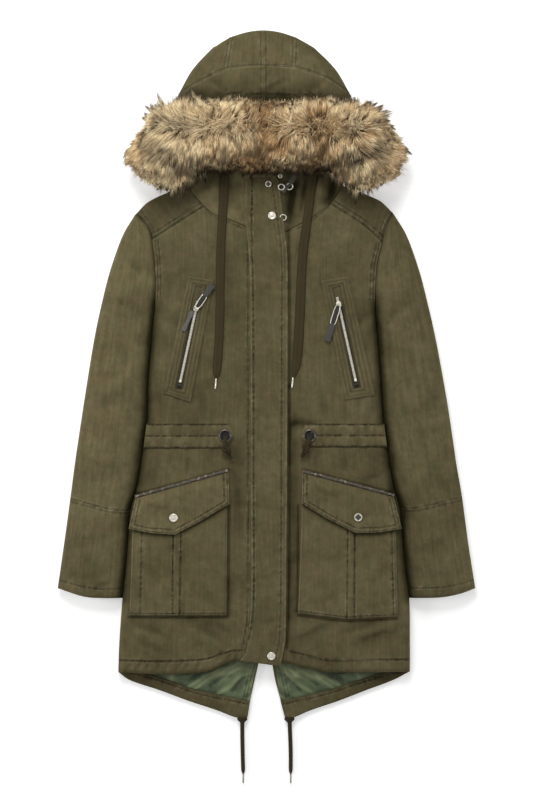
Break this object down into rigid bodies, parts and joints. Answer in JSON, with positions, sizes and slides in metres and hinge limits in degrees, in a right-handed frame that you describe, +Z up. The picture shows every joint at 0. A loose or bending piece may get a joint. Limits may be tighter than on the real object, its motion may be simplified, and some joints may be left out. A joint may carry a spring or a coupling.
{
  "type": "fur trimmed parka",
  "caption": "Hooded parka laid flat on its back, with a fur roll on the hood, slanted zip pockets, flap pockets, a waist drawstring and a split tail hem.",
  "frame": {"origin": "on the surface that the coat lies on, under the middle of the garment's box without its cords", "axes": "+Y from the hem up to the hood's crown, +X across the chest towards the wearer's left sleeve, +Z up from the surface, out of the coat's front"},
  "size_m": [0.6896, 1.2448, 0.0896],
  "materials": {
    "shell": "washed cotton twill, matt, olive green",
    "lining": "smooth woven lining, slight sheen, green",
    "fur": "long pile imitation fur, brown and cream",
    "cord": "knitted cord, matt, dark brown",
    "metal": "polished nickel",
    "dark_metal": "gunmetal",
    "leather": "grey black imitation leather",
    "tape": "woven zip tape, matt"
  },
  "bodies": {
    "parka": {"back_left": "shell", "back_right": "shell", "front_left": "shell", "front_right": "shell", "yoke_left": "shell", "yoke_right": "shell", "sleeve_upper_left": "shell", "sleeve_upper_right": "shell", "sleeve_forearm_left": "shell", "sleeve_forearm_right": "shell", "sleeve_under_left": "shell", "sleeve_under_right": "shell", "collar_left": "shell", "collar_right": "shell", "hem_facing_left": "shell", "hem_facing_right": "shell", "chest_welt_left": "shell", "chest_welt_right": "shell", "waist_channel_left": "shell", "waist_channel_right": "shell", "hip_pocket_left": "shell", "hip_pocket_right": "shell", "hip_flap_left": "shell", "hip_flap_right": "shell", "hood_side_left": "shell", "hood_side_right": "shell", "placket": "shell", "hood_back": "shell", "hood_centre": "shell", "hood_brim": "shell", "lining_left": "lining", "lining_right": "lining", "fur_trim": "fur", "hood_cord_left": "cord", "hood_cord_right": "cord", "hem_cord_left": "cord", "hem_cord_right": "cord", "waist_cord_left": "cord", "waist_cord_right": "cord", "hood_cord_tip_left": "metal", "hood_cord_tip_right": "metal", "hem_cord_tip_left": "metal", "hem_cord_tip_right": "metal", "hip_snap_left": "metal", "hip_snap_right": "metal", "placket_snap_top": "metal", "placket_snap_neck": "metal", "placket_snap_hem": "metal", "neck_ring": "metal", "waist_eyelet_left": "dark_metal", "waist_eyelet_right": "dark_metal", "chest_slider_left": "dark_metal", "chest_slider_right": "dark_metal", "hip_piping_left": "leather", "hip_piping_right": "leather", "chest_zip_left": "tape", "chest_zip_right": "tape"},
    "pull_left": {"chest_pull_left": "leather"},
    "pull_right": {"chest_pull_right": "leather"}
  },
  "joints": [
    {"name": "pull_left_hinge", "type": "hinge", "parent": "parka", "child": "pull_left", "pos_m": [-0.116, 0.108, 0.0301], "axis": [0.8222, -0.5692, 0], "range_deg": [0, 150]},
    {"name": "pull_right_hinge", "type": "hinge", "parent": "parka", "child": "pull_right", "pos_m": [0.119, 0.115, 0.0301], "axis": [-0.9548, 0.2973, 0], "range_deg": [0, 150]}
  ]
}
